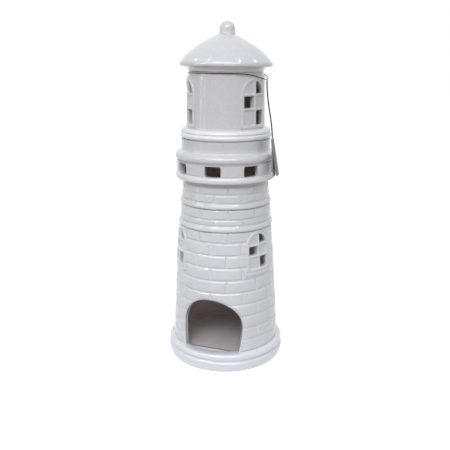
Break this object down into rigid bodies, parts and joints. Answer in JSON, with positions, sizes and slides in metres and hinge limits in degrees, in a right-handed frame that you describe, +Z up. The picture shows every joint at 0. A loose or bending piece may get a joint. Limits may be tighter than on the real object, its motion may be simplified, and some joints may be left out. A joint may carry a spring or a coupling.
{
  "type": "ceramic lighthouse lantern",
  "caption": "Hollow glazed ceramic lighthouse with brick relief, arched candle door, pierced gallery, latticed windows and a lift-off roof, for one tealight.",
  "frame": {"origin": "centre of the foot, on the surface the lighthouse stands on", "axes": "+Z up along the tower's axis; the candle door faces -Y; +X to the right of the door as seen from outside"},
  "size_m": [0.1076, 0.1076, 0.3],
  "materials": {
    "white_glaze": "glossy white glaze, slightly cool, softly pooled between the bricks",
    "chamber_glaze": "thin satin glaze inside the chamber",
    "black_string": "thin twisted black string",
    "grey_card": "blank matt folded card"
  },
  "bodies": {
    "lantern": {"base_plinth": "white_glaze", "chamber_floor": "chamber_glaze", "tower_wall": "white_glaze", "lower_band": "white_glaze", "middle_courses": "white_glaze", "upper_band": "white_glaze", "top_courses": "white_glaze", "gallery_parapet": "white_glaze", "gallery_cornice": "white_glaze", "watch_drum": "white_glaze", "lantern_sill": "white_glaze", "lantern_wall": "white_glaze", "tower_window_left": "white_glaze", "tower_window_right": "white_glaze", "lantern_window_left": "white_glaze", "lantern_window_right": "white_glaze", "neck_string": "black_string"},
    "roof": {"roof_dome": "white_glaze", "roof_collar": "white_glaze", "roof_finial": "white_glaze"},
    "tag": {"tag_string": "black_string", "hang_tag": "grey_card"}
  },
  "joints": [
    {"name": "roof_lift", "type": "slide", "parent": "lantern", "child": "roof", "axis": [0, 0, 1], "range_m": [0, 0.05]},
    {"name": "tag_swing", "type": "hinge", "parent": "lantern", "child": "tag", "pos_m": [0.03635, -0.0019, 0.2525], "axis": [0.2588, -0.9659, 0], "range_deg": [0, 60]}
  ]
}
